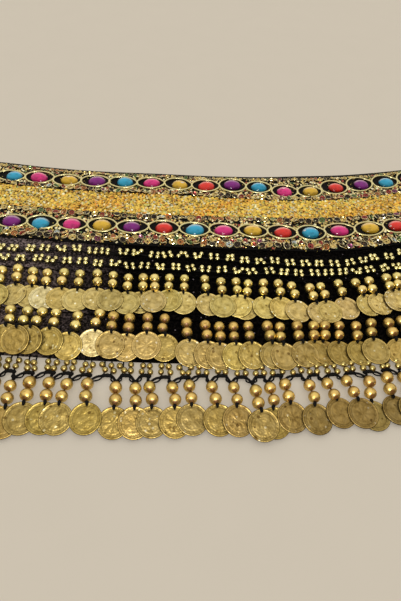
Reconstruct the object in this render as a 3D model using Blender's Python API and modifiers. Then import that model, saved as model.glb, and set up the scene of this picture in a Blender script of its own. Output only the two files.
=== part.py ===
"""Belly dance hip scarf: a curved black cloth band laid flat, with two jewelled trims and a sequin stripe,
three rows of beaded coin strands, a netted edging under its hem and two ties.

Metres, +Z up. +X runs along the band and +Y points from the coin hem to the top edge. The band is an arc
whose centre lies beyond the top edge, so a place on it is an angle from the middle, a depth below the top
edge and a height above the surface that it lies on.
"""

import math

import bmesh
import bpy
from mathutils import Matrix, Vector

MM = 0.001

# Cloth band
TOP_RADIUS = 1180 * MM
BAND_DEPTH = 184 * MM
BAND_HALF_ANGLE = 0.276
CLOTH = 1.5 * MM
SEAM = 0.3 * MM
ARC_STEPS = 44

# How the laid cloth strays from an even arc, a row for each place where the rows on it run lower or higher:
# distance along the band, half width, depth below the top edge, half reach, and how far down the cloth strays
STRAYS = (
    (125 * MM, 80 * MM, 25 * MM, 21 * MM, 7.0 * MM),
    (128 * MM, 72 * MM, 85 * MM, 55 * MM, 6.0 * MM),
    (85 * MM, 72 * MM, 137 * MM, 45 * MM, 7.5 * MM),
    (-110 * MM, 110 * MM, 160 * MM, 20 * MM, -4.5 * MM),
)

# Trims sewn on the band: depth of the upper and of the lower edge below the band's top edge
UPPER_TRIM = (1.5 * MM, 29.5 * MM)
SEQUIN_STRIPE = (29.9 * MM, 53.6 * MM)
LOWER_TRIM = (54.1 * MM, 87.0 * MM)
TRIM_THICKNESS = 1.2 * MM

# Oval jewels in almond frames
JEWEL_PITCH = 23.1 * MM
JEWEL_LENGTH = 14 * MM
JEWEL_WIDTH = 10 * MM
JEWEL_HEIGHT = 4.0 * MM
UPPER_JEWEL_DEPTH = 15.3 * MM
LOWER_JEWEL_DEPTH = 70.0 * MM

# Coin strands: two large beads and a coin on a thread. A coin's heights are those of its top and lower edge
# above what it lies on, and its outline is eight-sided: part of the way down it, and part of its width.
STRIP_WIDTH = 2.4 * MM
STRIP_THICKNESS = 1.2 * MM
ROOT_WIDTH = 2.4 * MM
BEAD = 6.6 * MM
BEAD_HEIGHT = 6.4 * MM
COIN = 18 * MM
COIN_THICKNESS = 0.7 * MM
COIN_OUTLINE = ((0, 0.36), (0.28, 0.98), (0.72, 0.98), (1, 0.4))
COIN_HIGH = 4.2 * MM
COIN_LOW = 2.2 * MM
COIN_SHINGLE = math.radians(6)
STRAND_SWAY = math.radians(1.6)
ROOT_SWAY = 0.5 * MM

# Rows of strands: node, depth of the strip's lower edge, strands, height that the row lies on,
# distances from that edge to both bead centres and to the coin's top, and the side that coins overlap to
ROWS = (
    ("coin_row_upper", 115.2 * MM, 66, CLOTH + SEAM, 4.4 * MM, 11.8 * MM, 15.8 * MM, 1),
    ("coin_row_lower", 153.6 * MM, 70, CLOTH + SEAM, 4.3 * MM, 11.7 * MM, 16.2 * MM, -1),
    ("coin_row_hem", 197.6 * MM, 67, 0.0, 3.8 * MM, 11.0 * MM, 15.0 * MM, 1),
)

# Netted edging under the hem
NET = (184.3 * MM, 194.9 * MM)
NET_THICKNESS = 1.2 * MM
NET_HOLES = 67
NET_HOLE_WIDTH = 6.2 * MM
NET_HOLE = (185.8 * MM, 192.7 * MM)

# Ties sewn to the band's ends
TIE_LENGTH = 300 * MM
TIE_DEPTH = (5 * MM, 41 * MM)
TIE_SLANT = 12 * MM
TIE_WAVE = math.radians(9)
TIE_STEPS = 14

COLOURS = {
    "black_cloth": ((0.012, 0.011, 0.015), 0.85, 0.0),
    "gold_sequins": ((0.62, 0.43, 0.12), 0.35, 0.7),
    "jewelled_trim": ((0.42, 0.32, 0.14), 0.4, 0.5),
    "coin_gold": ((0.50, 0.38, 0.15), 0.35, 1.0),
    "black_net": ((0.02, 0.018, 0.02), 0.8, 0.0),
}


def clear_scene():
    for obj in list(bpy.data.objects):
        bpy.data.objects.remove(obj)


def make_material(name):
    colour, roughness, metallic = COLOURS[name]
    material = bpy.data.materials.new(name)
    material.use_nodes = True
    shader = material.node_tree.nodes["Principled BSDF"]
    shader.inputs["Base Color"].default_value = (*colour, 1)
    shader.inputs["Roughness"].default_value = roughness
    shader.inputs["Metallic"].default_value = metallic
    return material


def stray(angle, depth):
    """How far down the cloth strays at a place on the band."""
    total = 0
    for middle, half_width, deep, half_reach, amount in STRAYS:
        across = (TOP_RADIUS * angle - middle) / half_width
        below = (depth - deep) / half_reach
        total += amount * math.exp(-(across**2) - below**2)
    return total


def on_band(angle, depth, height):
    radius = TOP_RADIUS + depth + stray(angle, depth)
    return Vector((radius * math.sin(angle), -radius * math.cos(angle), height))


def along(angle):
    """Unit vector along the band."""
    return Vector((math.cos(angle), math.sin(angle), 0))


def down(angle):
    """Unit vector from the top edge towards the hem."""
    return Vector((math.sin(angle), -math.cos(angle), 0))


def add_object(name, mesh, material, collection, parent):
    obj = bpy.data.objects.new(name, mesh)
    collection.objects.link(obj)
    obj.parent = parent
    if material:
        mesh.materials.append(material)
    return obj


def mesh_from(name, bm):
    bmesh.ops.recalc_face_normals(bm, faces=bm.faces)
    mesh = bpy.data.meshes.new(name)
    bm.to_mesh(mesh)
    bm.free()
    return mesh


def sheet_between(upper, lower, name):
    """An open sheet between two edges, each a list of points."""
    bm = bmesh.new()
    tops = [bm.verts.new(point) for point in upper]
    lows = [bm.verts.new(point) for point in lower]
    for i in range(len(tops) - 1):
        bm.faces.new((tops[i], lows[i], lows[i + 1], tops[i + 1]))
    bm.normal_update()
    mesh = bpy.data.meshes.new(name)
    bm.to_mesh(mesh)
    bm.free()
    return mesh


def thicken(obj, thickness):
    """Cloth thickness, upwards from the open sheet."""
    solidify = obj.modifiers.new("cloth", "SOLIDIFY")
    solidify.thickness = thickness
    solidify.offset = 1
    return solidify


def arc_angles(steps):
    return [BAND_HALF_ANGLE * (2 * i / steps - 1) for i in range(steps + 1)]


def arc_band(name, depths, height, thickness, material, collection, parent):
    """A flat strip of cloth that follows the band."""
    angles = arc_angles(ARC_STEPS)
    upper = [on_band(a, depths[0], height) for a in angles]
    lower = [on_band(a, depths[1], height) for a in angles]
    obj = add_object(name, sheet_between(upper, lower, name), material, collection, parent)
    thicken(obj, thickness)
    return obj


def jewel_ring(bm, angle, depth, height, length, width):
    """Hexagon of a jewel's outline, with its points along the band."""
    ring = []
    centre = on_band(angle, depth, height)
    for corner in range(6):
        turn = math.pi * corner / 3
        stretch = 0.5 if corner % 3 == 0 else 0.56
        offset = along(angle) * (length * stretch * math.cos(turn))
        offset += down(angle) * (width * stretch * math.sin(turn))
        ring.append(bm.verts.new(centre + offset))
    return ring


def jewelled_trim(name, depths, jewel_depth, material, collection, parent):
    """A trim whose outer points rise into one faceted jewel for each almond, over a plain underside."""
    reach = 2 * BAND_HALF_ANGLE * (TOP_RADIUS + jewel_depth)
    jewels = round(reach / JEWEL_PITCH)
    low = CLOTH + SEAM
    high = low + TRIM_THICKNESS
    bm = bmesh.new()
    columns = []
    for i in range(jewels + 1):
        angle = BAND_HALF_ANGLE * (2 * i / jewels - 1)
        corners = ((depths[0], high), (depths[1], high), (depths[1], low), (depths[0], low))
        columns.append([bm.verts.new(on_band(angle, depth, z)) for depth, z in corners])
    for i in range(jewels):
        angle = BAND_HALF_ANGLE * ((2 * i + 1) / jewels - 1)
        left, right = columns[i], columns[i + 1]
        for side in range(1, 4):
            after = (side + 1) % 4
            bm.faces.new((left[side], left[after], right[after], right[side]))
        foot = jewel_ring(bm, angle, jewel_depth, high, 1.1 * JEWEL_LENGTH, 1.1 * JEWEL_WIDTH)
        crown = jewel_ring(bm, angle, jewel_depth, high + JEWEL_HEIGHT, 0.6 * JEWEL_LENGTH, 0.6 * JEWEL_WIDTH)
        bm.faces.new((right[0], right[1], foot[0]))
        bm.faces.new((right[1], foot[1], foot[0]))
        bm.faces.new((left[1], foot[2], foot[1], right[1]))
        bm.faces.new((left[1], foot[3], foot[2]))
        bm.faces.new((left[0], foot[3], left[1]))
        bm.faces.new((left[0], foot[4], foot[3]))
        bm.faces.new((right[0], foot[5], foot[4], left[0]))
        bm.faces.new((right[0], foot[0], foot[5]))
        for corner in range(6):
            after = (corner + 1) % 6
            bm.faces.new((foot[corner], foot[after], crown[after], crown[corner]))
        bm.faces.new(crown)
    bm.faces.new(columns[0])
    bm.faces.new(columns[-1])
    return add_object(name, mesh_from(name, bm), material, collection, parent)


def sway(i, rate):
    """A repeatable uneven value between -1 and 1 for the i-th strand."""
    return 0.6 * math.sin(rate * i + 0.7) + 0.4 * math.sin(2.37 * rate * i)


def strand_rings(angle, depth, base, beads, coin_top, lean, side):
    """The rings of four points round one strand, from its first bead to its coin's lower edge."""
    outward = Matrix.Rotation(lean, 3, "Z") @ down(angle)
    across = Matrix.Rotation(lean, 3, "Z") @ along(angle)
    root = on_band(angle, depth, 0)
    bead_centre = base + SEAM + BEAD_HEIGHT / 2
    upright = Vector((0, 0, 1))
    tilted = (across + upright * (side * math.tan(COIN_SHINGLE))).normalized()
    face_up = tilted.cross(outward) * (1 if tilted.cross(outward).z > 0 else -1)
    sections = [(beads[0], BEAD, BEAD_HEIGHT, bead_centre, across, upright)]
    sections.append((beads[1], BEAD, BEAD_HEIGHT, bead_centre, across, upright))
    for part, width in COIN_OUTLINE:
        height = base + COIN_HIGH + (COIN_LOW - COIN_HIGH) * part
        sections.append((coin_top + part * COIN, width * COIN, COIN_THICKNESS, height, tilted, face_up))
    rings = []
    for distance, width, thickness, height, sideways, up in sections:
        centre = root + outward * distance + upright * height
        corners = ((-1, -1), (1, -1), (1, 1), (-1, 1))
        rings.append([centre + sideways * (x * width / 2) + up * (z * thickness / 2) for x, z in corners])
    return rings


def coin_row(name, depth, count, base, bead_1, bead_2, coin_top, side, material, collection, parent):
    """A narrow woven strip with its strands growing out of its lower edge, in one closed mesh."""
    bm = bmesh.new()
    low, high = base, base + STRIP_THICKNESS
    inner = depth - STRIP_WIDTH

    def pair(angle, at):
        return bm.verts.new(on_band(angle, at, low)), bm.verts.new(on_band(angle, at, high))

    pitch = 2 * BAND_HALF_ANGLE / count
    half_root = ROOT_WIDTH / 2 / (TOP_RADIUS + depth)
    upper = [pair(-BAND_HALF_ANGLE + pitch * i, inner) for i in range(count + 1)]
    before = pair(-BAND_HALF_ANGLE, depth)
    bm.faces.new((upper[0][0], upper[0][1], before[1], before[0]))
    for i in range(count):
        angle = -BAND_HALF_ANGLE + pitch * (i + 0.5) + ROOT_SWAY * sway(i, 1.9) / (TOP_RADIUS + depth)
        left = pair(angle - half_root, depth)
        right = pair(angle + half_root, depth)
        for level in (0, 1):
            bm.faces.new((upper[i][level], before[level], left[level]))
            bm.faces.new((upper[i][level], left[level], right[level], upper[i + 1][level]))
        bm.faces.new((upper[i][0], upper[i][1], upper[i + 1][1], upper[i + 1][0]))
        bm.faces.new((before[0], before[1], left[1], left[0]))
        ring = [left[0], right[0], right[1], left[1]]
        lean = STRAND_SWAY * sway(i, 1.3)
        for points in strand_rings(angle, depth, base, (bead_1, bead_2), coin_top, lean, side):
            following = [bm.verts.new(point) for point in points]
            for corner in range(4):
                after = (corner + 1) % 4
                bm.faces.new((ring[corner], ring[after], following[after], following[corner]))
            ring = following
        bm.faces.new(ring)
        before = right
    end = pair(BAND_HALF_ANGLE, depth)
    for level in (0, 1):
        bm.faces.new((upper[count][level], before[level], end[level]))
    bm.faces.new((before[0], before[1], end[1], end[0]))
    bm.faces.new((upper[count][0], upper[count][1], end[1], end[0]))
    return add_object(name, mesh_from(name, bm), material, collection, parent)


def net_hole_cutters(collection, parent):
    """Boxes through the net, one for each gap between its bead clusters."""
    bm = bmesh.new()
    middle = (NET_HOLE[0] + NET_HOLE[1]) / 2
    size = Vector((NET_HOLE_WIDTH, NET_HOLE[1] - NET_HOLE[0], 4 * NET_THICKNESS))
    pitch = 2 * BAND_HALF_ANGLE / NET_HOLES
    for i in range(NET_HOLES):
        angle = -BAND_HALF_ANGLE + pitch * (i + 0.5)
        place = Matrix.Translation(on_band(angle, middle, NET_THICKNESS / 2)) @ Matrix.Rotation(angle, 4, "Z")
        bmesh.ops.create_cube(bm, size=1, matrix=place @ Matrix.Diagonal((*size, 1)))
    cutter = add_object("net_holes", mesh_from("net_holes", bm), None, collection, parent)
    cutter.hide_render = True
    cutter.display_type = "WIRE"
    return cutter


def net_edging(material, collection, cutters, parent):
    """The open net under the hem: a flat strip with its gaps cut through."""
    obj = arc_band("net_edging", NET, 0, NET_THICKNESS, material, collection, parent)
    holes = obj.modifiers.new("gaps", "BOOLEAN")
    holes.operation = "DIFFERENCE"
    holes.object = net_hole_cutters(cutters, parent)
    return obj


def tie(name, side, material, collection, parent):
    """A plain tie that leaves the band's end along its curve and lies in a shallow wave."""
    centre_depth = (TIE_DEPTH[0] + TIE_DEPTH[1]) / 2
    half_width = (TIE_DEPTH[1] - TIE_DEPTH[0]) / 2
    start = side * (BAND_HALF_ANGLE + SEAM / TOP_RADIUS)
    point = on_band(start, centre_depth, 0)
    upper, lower = [], []
    for i in range(TIE_STEPS + 1):
        part = i / TIE_STEPS
        heading = start - side * TIE_WAVE * math.sin(math.pi * part)
        cross = down(heading) * half_width
        slant = along(heading) * (side * TIE_SLANT * part**6)
        upper.append(point - cross)
        lower.append(point + cross + slant)
        point = point + along(heading) * (side * TIE_LENGTH / TIE_STEPS)
    edges = (upper, lower) if side > 0 else (upper[::-1], lower[::-1])
    obj = add_object(name, sheet_between(*edges, name), material, collection, parent)
    thicken(obj, CLOTH)
    return obj


def centre_on_origin(root, parts):
    """Moves the empty so that the middle of the scarf's footprint is at the origin."""
    bpy.context.view_layer.update()
    graph = bpy.context.evaluated_depsgraph_get()
    corners = []
    for part in parts:
        evaluated = part.evaluated_get(graph)
        corners += [evaluated.matrix_world @ Vector(corner) for corner in evaluated.bound_box]
    for axis in (0, 1):
        values = [corner[axis] for corner in corners]
        root.location[axis] = -(min(values) + max(values)) / 2


def main():
    clear_scene()
    scarf = bpy.data.collections.new("hip_scarf")
    cutters = bpy.data.collections.new("cutters")
    for collection in (scarf, cutters):
        bpy.context.scene.collection.children.link(collection)
    root = bpy.data.objects.new("scarf_origin", None)
    scarf.objects.link(root)
    finish = {name: make_material(name) for name in COLOURS}

    on_cloth = CLOTH + SEAM
    cloth, trim, net = finish["black_cloth"], finish["jewelled_trim"], finish["black_net"]
    sequins = finish["gold_sequins"]
    parts = [
        arc_band("cloth_band", (0, BAND_DEPTH), 0, CLOTH, cloth, scarf, root),
        jewelled_trim("jewel_trim_upper", UPPER_TRIM, UPPER_JEWEL_DEPTH, trim, scarf, root),
        arc_band("sequin_stripe", SEQUIN_STRIPE, on_cloth, TRIM_THICKNESS, sequins, scarf, root),
        jewelled_trim("jewel_trim_lower", LOWER_TRIM, LOWER_JEWEL_DEPTH, trim, scarf, root),
        net_edging(net, scarf, cutters, root),
        tie("tie_left", -1, cloth, scarf, root),
        tie("tie_right", 1, cloth, scarf, root),
    ]
    parts += [coin_row(*row, finish["coin_gold"], scarf, root) for row in ROWS]
    centre_on_origin(root, parts)


main()
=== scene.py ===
"""Looks of the belly dance hip scarf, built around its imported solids. Metres, +Z up.

A place on the scarf is an angle from its middle, a depth below its top edge and a height above the floor, as
in the solids: the band is an arc whose centre lies beyond the top edge.
"""

import math
from collections import namedtuple

import bpy
import numpy as np
from mathutils import Matrix, Vector


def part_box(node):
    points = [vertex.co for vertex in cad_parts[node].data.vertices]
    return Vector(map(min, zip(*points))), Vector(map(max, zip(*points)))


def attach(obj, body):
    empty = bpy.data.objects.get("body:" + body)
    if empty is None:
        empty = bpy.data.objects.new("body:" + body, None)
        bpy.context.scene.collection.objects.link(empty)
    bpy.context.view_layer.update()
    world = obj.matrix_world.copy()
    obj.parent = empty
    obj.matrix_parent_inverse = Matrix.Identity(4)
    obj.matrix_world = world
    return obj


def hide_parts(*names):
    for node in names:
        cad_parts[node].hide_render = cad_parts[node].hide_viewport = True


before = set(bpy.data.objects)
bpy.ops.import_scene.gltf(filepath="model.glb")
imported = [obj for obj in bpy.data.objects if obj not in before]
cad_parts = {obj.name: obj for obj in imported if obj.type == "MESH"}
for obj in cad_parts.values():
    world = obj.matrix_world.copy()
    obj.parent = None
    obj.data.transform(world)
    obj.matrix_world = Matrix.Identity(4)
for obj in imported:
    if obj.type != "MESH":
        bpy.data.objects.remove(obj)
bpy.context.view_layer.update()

MM = 0.001
BODY = "root"

# ---------------------------------------------------------------- sizes shared with the solids
TOP_RADIUS = 1180 * MM
BAND_DEPTH = 184 * MM
BAND_HALF_ANGLE = 0.276
CLOTH = 1.5 * MM
SEAM = 0.3 * MM
ON_CLOTH = CLOTH + SEAM
TRIM = 1.2 * MM
ON_TRIM = ON_CLOTH + TRIM
UPPER_TRIM = (1.5 * MM, 29.5 * MM)
SEQUIN_STRIPE = (29.9 * MM, 53.6 * MM)
LOWER_TRIM = (54.1 * MM, 87.0 * MM)
STRIP_WIDTH = 2.4 * MM
UPPER_ROOTS = 115.2 * MM
LOWER_ROOTS = 153.6 * MM
HEM_ROOTS = 197.6 * MM
NET_TOP = 184.3 * MM
NET_UNITS = 67
TIE_LENGTH = 300 * MM
TIE_DEPTH = (5 * MM, 41 * MM)
TIE_SLANT = 12 * MM
TIE_WAVE = math.radians(9)

# How far an underside stays clear of what it lies on.
CLEAR = 0.05 * MM
UP = (0.0, 0.0, 1.0)
# A turn by chance, in radians from and to.
ANY_TURN = (0, 6.28)

# The arc's centre, from the hem's lowest point.
CENTRE_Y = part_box("cloth_band")[0].y + TOP_RADIUS + BAND_DEPTH

# How the laid cloth strays from an even arc, as in the solids: distance along the band, half width, depth
# below the top edge, half reach, and how far down the cloth strays.
STRAYS = (
    (125 * MM, 80 * MM, 25 * MM, 21 * MM, 7.0 * MM),
    (128 * MM, 72 * MM, 85 * MM, 55 * MM, 6.0 * MM),
    (85 * MM, 72 * MM, 137 * MM, 45 * MM, 7.5 * MM),
    (-110 * MM, 110 * MM, 160 * MM, 20 * MM, -4.5 * MM),
)

# Soft creases in the cloth that everything on it follows: where along the band, how wide, how high,
# how far down the middle of it is, how far down it reaches, and its slant.
CREASES = (
    (-0.240, 0.030, 1.1 * MM, 0.06, 0.09, 0.3),
    (-0.150, 0.022, 0.9 * MM, 0.02, 0.07, -0.4),
    (-0.085, 0.018, 0.7 * MM, 0.12, 0.08, 0.2),
    (-0.020, 0.034, 0.8 * MM, 0.00, 0.06, 0.1),
    (0.062, 0.020, 0.9 * MM, 0.13, 0.09, -0.3),
    (0.128, 0.026, 0.8 * MM, 0.03, 0.10, 0.5),
    (0.215, 0.030, 1.2 * MM, 0.09, 0.10, -0.2),
    (0.290, 0.024, 0.9 * MM, 0.05, 0.08, 0.3),
)


def swell(angle, depth):
    """Height of the cloth's soft creases at a place on the band."""
    reach = np.asarray(angle) * TOP_RADIUS
    rise = np.zeros(np.broadcast(reach, depth).shape)
    for middle, width, height, deep, length, slant in CREASES:
        across = (reach - middle - slant * (np.asarray(depth) - deep)) / width
        down = (np.asarray(depth) - deep) / length
        rise = rise + height * np.exp(-(across**2) - down**2)
    return rise


def stray(angle, depth):
    """How far down the cloth strays at a place on the band."""
    total = np.zeros(np.broadcast(angle, depth).shape)
    for middle, half_width, deep, half_reach, amount in STRAYS:
        across = (TOP_RADIUS * np.asarray(angle) - middle) / half_width
        below = (np.asarray(depth) - deep) / half_reach
        total = total + amount * np.exp(-(across**2) - below**2)
    return total


def place(angle, depth, height, creased=True):
    """Points (..., 3) on the scarf."""
    angle, depth, height = np.broadcast_arrays(angle, depth, height)
    radius = TOP_RADIUS + depth + stray(angle, depth)
    lift = height + (swell(angle, depth) if creased else 0)
    return np.stack([radius * np.sin(angle), CENTRE_Y - radius * np.cos(angle), lift], -1)


def along(angle):
    return np.stack([np.cos(angle), np.sin(angle), np.zeros_like(angle)], -1)


def down(angle):
    return np.stack([np.sin(angle), -np.cos(angle), np.zeros_like(angle)], -1)


def even_angles(count):
    """Middles of so many equal steps from one end of the band to the other."""
    return BAND_HALF_ANGLE * ((2 * np.arange(count) + 1) / count - 1)


def bumps(at, table):
    """A value that swells at some places along the band: each row is a place, a half width and an amount."""
    total = np.zeros(np.shape(at))
    for middle, half_width, amount in table:
        total += amount * np.exp(-(((at - middle * MM) / (half_width * MM)) ** 2))
    return total


def runs(table):
    """One value for each member of each run: each row is how many, and the value they share."""
    return np.concatenate([np.full(count, value, dtype=float) for count, value in table])


# ---------------------------------------------------------------- meshes
def unit(vectors):
    return vectors / np.linalg.norm(vectors, axis=-1, keepdims=True)


def new_piece(name, shape, materials, replaced, slot, smooth=True, picks=None, tints=None):
    """A mesh object that rides on the scarf. picks has a material's number a face, tints a colour a point."""
    points, faces = shape
    mesh = bpy.data.meshes.new(name)
    mesh.from_pydata(np.asarray(points).tolist(), [], [tuple(face) for face in faces])
    mesh.polygons.foreach_set("use_smooth", np.full(len(mesh.polygons), smooth))
    for material in materials:
        mesh.materials.append(material)
    if picks is not None:
        mesh.polygons.foreach_set("material_index", np.asarray(picks, dtype=np.int32))
    if tints is not None:
        layer = mesh.color_attributes.new("tint", "FLOAT_COLOR", "POINT")
        colours = np.ones((len(mesh.vertices), 4), dtype=np.float32)
        colours[:, :3] = tints
        layer.data.foreach_set("color", colours.ravel())
    mesh.update()
    obj = bpy.data.objects.new(name, mesh)
    bpy.context.scene.collection.objects.link(obj)
    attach(obj, BODY)
    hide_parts(replaced)
    return obj


def stamp(template, origins, axes):
    """Joined copies of a template: (points, faces), one at each origin with its three axes as rows."""
    points, faces = template
    copies = np.einsum("pk,ckj->cpj", points, axes) + origins[:, None, :]
    shift = np.arange(len(origins)) * len(points)
    joined = [tuple(corner + s for corner in face) for s in shift.tolist() for face in faces]
    return copies.reshape(-1, 3), joined


def spread(values, template):
    """One value a copy, repeated for each of the template's points."""
    return np.repeat(np.asarray(values), len(template[0]), axis=0)


def turned(forward, up, spin=0.0):
    """Axes (side, forward, up) for each copy, turned about up by spin."""
    up = unit(up)
    side = unit(np.cross(forward, up))
    ahead = np.cross(up, side)
    spin = np.broadcast_to(spin, len(up))
    cos, sin = np.cos(spin)[:, None], np.sin(spin)[:, None]
    return np.stack([side * cos + ahead * sin, ahead * cos - side * sin, up], 1)


def tipped(chance, count, amount):
    """Directions near straight up, each tipped at random."""
    return np.stack([chance.normal(0, amount, count), chance.normal(0, amount, count), np.ones(count)], -1)


def circle(sides, radius, height, offset=0.0):
    """Points of a level circle."""
    turns = 2 * math.pi * (np.arange(sides) + offset) / sides
    return np.stack([radius * np.cos(turns), radius * np.sin(turns), np.full(sides, height)], -1)


def band_faces(rings, sides, closed=False):
    """Four-cornered faces between neighbouring rings of so many points."""
    faces = []
    for ring in range(rings if closed else rings - 1):
        a, b = ring * sides, ((ring + 1) % rings) * sides
        for side in range(sides):
            after = (side + 1) % sides
            faces.append((a + side, b + side, b + after, a + after))
    return faces


def globe(sides, rings):
    """A sphere of diameter 1 with its poles along the second axis."""
    levels = math.pi * np.arange(1, rings) / rings
    points = np.concatenate([circle(sides, 0.5 * math.sin(t), 0.5 * math.cos(t)) for t in levels])
    last = len(points)
    points = np.concatenate([points, [(0, 0, 0.5), (0, 0, -0.5)]])
    faces = band_faces(rings - 1, sides)
    for side in range(sides):
        after = (side + 1) % sides
        faces.append((last, side, after))
        faces.append((last + 1, last - sides + after, last - sides + side))
    return points[:, [1, 2, 0]], faces


def flake(sides=5, bulge=0.06):
    """A small flat sequin of diameter 1, seen at this size as a few facets."""
    points = np.concatenate([circle(sides, 0.5, 0), [(0, 0, bulge), (0, 0, -bulge)]])
    faces = []
    for side in range(sides):
        after = (side + 1) % sides
        faces += [(side, after, sides), (after, side, sides + 1)]
    return points, faces


def shell(top, low, mirrored=False):
    """A closed sheet between two grids of points (columns, rows, 3)."""
    columns, rows = top.shape[:2]
    under = columns * rows
    number = np.arange(under).reshape(columns, rows)
    quads = np.stack([number[:-1, :-1], number[:-1, 1:], number[1:, 1:], number[1:, :-1]], -1).reshape(-1, 4)
    rim = np.concatenate([number[:, 0], number[-1, 1:], number[-2::-1, -1], number[0, -2:0:-1]])
    after = np.roll(rim, -1)
    walls = np.stack([rim, after, after + under, rim + under], -1)
    faces = np.concatenate([quads, quads[:, ::-1] + under, walls])
    if mirrored:
        faces = faces[:, ::-1]
    return np.concatenate([top.reshape(-1, 3), low.reshape(-1, 3)]), faces.tolist()


def tube(path, radius, sides, closed=False, ridge=0.0, twists=0):
    """A round cord along a path of points; ridge and twists give it a rope's strands."""
    path = np.asarray(path)
    ahead = unit(np.roll(path, -1, 0) - np.roll(path, 1, 0) if closed else np.gradient(path, axis=0))
    side = np.cross(ahead, UP)
    side[np.linalg.norm(side, axis=1) < 1e-6] = (1.0, 0.0, 0.0)
    side = unit(side)
    top = np.cross(side, ahead)
    turns = 2 * math.pi * np.arange(sides) / sides
    steps = len(path)
    lay = 2 * math.pi * twists * np.arange(steps) / steps
    radii = np.broadcast_to(radius, steps)[:, None] * (1 + ridge * np.cos(2 * (turns[None] - lay[:, None])))
    ring = np.cos(turns)[None, :, None] * side[:, None] + np.sin(turns)[None, :, None] * top[:, None]
    points = path[:, None] + radii[..., None] * ring
    faces = [face[::-1] for face in band_faces(steps, sides, closed)]
    if not closed:
        faces.append(tuple(reversed(range(sides))))
        faces.append(tuple((steps - 1) * sides + s for s in range(sides)))
    return points.reshape(-1, 3), faces


def smooth_path(path, count):
    """Evenly spread points on a smooth curve through a short path."""
    path = np.asarray(path, dtype=float)
    step = np.linspace(0, len(path) - 1, count)
    low = np.clip(step.astype(int), 0, len(path) - 2)
    t = (step - low)[:, None]
    a, b = path[low], path[low + 1]
    before = path[np.maximum(low - 1, 0)]
    after = path[np.minimum(low + 2, len(path) - 1)]
    square = 2 * before - 5 * a + 4 * b - after
    cube = 3 * a - before - 3 * b + after
    return 0.5 * (2 * a + (b - before) * t + square * t**2 + cube * t**3)


def cord(path, count, girth, sides, **rope):
    """A cord along a smooth curve through a short path."""
    return tube(smooth_path(path, count), girth, sides, **rope)


def join(parts):
    """Several (points, faces) as one."""
    points, faces, shift = [], [], 0
    for part_points, part_faces in parts:
        points.append(part_points)
        faces += [tuple(corner + shift for corner in face) for face in part_faces]
        shift += len(part_points)
    return np.concatenate(points), faces


# ---------------------------------------------------------------- materials
def add_node(tree, kind, inputs=None, **settings):
    """A new node, with each input linked where it is given a socket and else set."""
    node = tree.nodes.new(kind)
    for name, value in settings.items():
        setattr(node, name, value)
    for name, value in (inputs or {}).items():
        if isinstance(value, bpy.types.NodeSocket):
            tree.links.new(value, node.inputs[name])
        else:
            node.inputs[name].default_value = value
    return node


class Nodes:
    """Short calls for building a material's nodes."""

    def __init__(self, name):
        self.material = bpy.data.materials.new(name)
        self.material.use_nodes = True
        self.tree = self.material.node_tree
        self.shader = self.tree.nodes["Principled BSDF"]

    def set(self, **sockets):
        for name, value in sockets.items():
            self.shader.inputs[name.replace("_", " ")].default_value = value
        return self

    def add(self, kind, inputs=None, **settings):
        return add_node(self.tree, kind, inputs, **settings)

    def link(self, socket, name):
        self.tree.links.new(socket, self.shader.inputs[name])
        return self

    def where(self):
        return self.add("ShaderNodeTexCoord").outputs["Object"]

    def normal(self):
        return self.add("ShaderNodeNewGeometry").outputs["Normal"]

    def parts(self, vector):
        return self.add("ShaderNodeSeparateXYZ", {"Vector": vector}).outputs

    def noise(self, scale, detail=3.0, rough=0.55):
        inputs = {"Scale": scale, "Detail": detail, "Roughness": rough, "Vector": self.where()}
        return self.add("ShaderNodeTexNoise", inputs).outputs["Fac"]

    def cells(self, scale, long=1.0):
        """Cells of a Voronoi pattern, so many times as long along the band as across it."""
        where = self.add("ShaderNodeMapping", {"Vector": self.where(), "Scale": (1 / long, 1, 1)}).outputs[0]
        return self.add("ShaderNodeTexVoronoi", {"Scale": scale, "Vector": where})

    def patches(self, cells, share, reach):
        """1 within reach of the middle in a random share of the cells, else 0."""
        draw = self.add("ShaderNodeSeparateColor", {"Color": cells.outputs["Color"]}).outputs[0]
        chosen = self.math("LESS_THAN", draw, share)
        return self.math("MULTIPLY", chosen, self.math("LESS_THAN", cells.outputs["Distance"], reach))

    def ramp(self, value, *stops):
        node = self.add("ShaderNodeValToRGB", {"Fac": value})
        set_stops(node.color_ramp, stops)
        return node.outputs["Color"]

    def levels(self, value, *stops):
        """A grey by the value: each stop is a position and a level."""
        return self.ramp(value, *((position, grey(level)) for position, level in stops))

    def math(self, operation, a, b=0.0):
        return self.add("ShaderNodeMath", {0: a, 1: b}, operation=operation).outputs[0]

    def mix(self, factor, a, b, blend="MIX"):
        colours = {6: a, 7: b}
        inputs = {k: c if isinstance(c, bpy.types.NodeSocket) else (*c, 1) for k, c in colours.items()}
        return self.add("ShaderNodeMix", {0: factor, **inputs}, data_type="RGBA", blend_type=blend).outputs[2]

    def times(self, a, b):
        return self.mix(1.0, a, b, "MULTIPLY")

    def tint(self):
        return self.add("ShaderNodeAttribute", attribute_name="tint").outputs["Color"]

    def bump(self, height, strength, distance):
        inputs = {"Height": height, "Strength": strength, "Distance": distance}
        return self.link(self.add("ShaderNodeBump", inputs).outputs["Normal"], "Normal")


def set_stops(color_ramp, stops):
    """Gives a colour ramp these stops, each a position and a colour."""
    while len(color_ramp.elements) < len(stops):
        color_ramp.elements.new(0.5)
    for element, (position, colour) in zip(color_ramp.elements, stops):
        element.position = position
        element.color = (*colour, 1)


def grey(value):
    return (value, value, value)


def scaled(colour, amount):
    return tuple(min(1.0, part * amount) for part in colour)


# Left of the middle the cloth is painted paler as a painted sheen: from where to where, and how far along is
# palest.
PAINTED_SHEEN_SPAN = (-0.32, -0.035)
PAINTED_SHEEN_PEAK = 0.42


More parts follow.
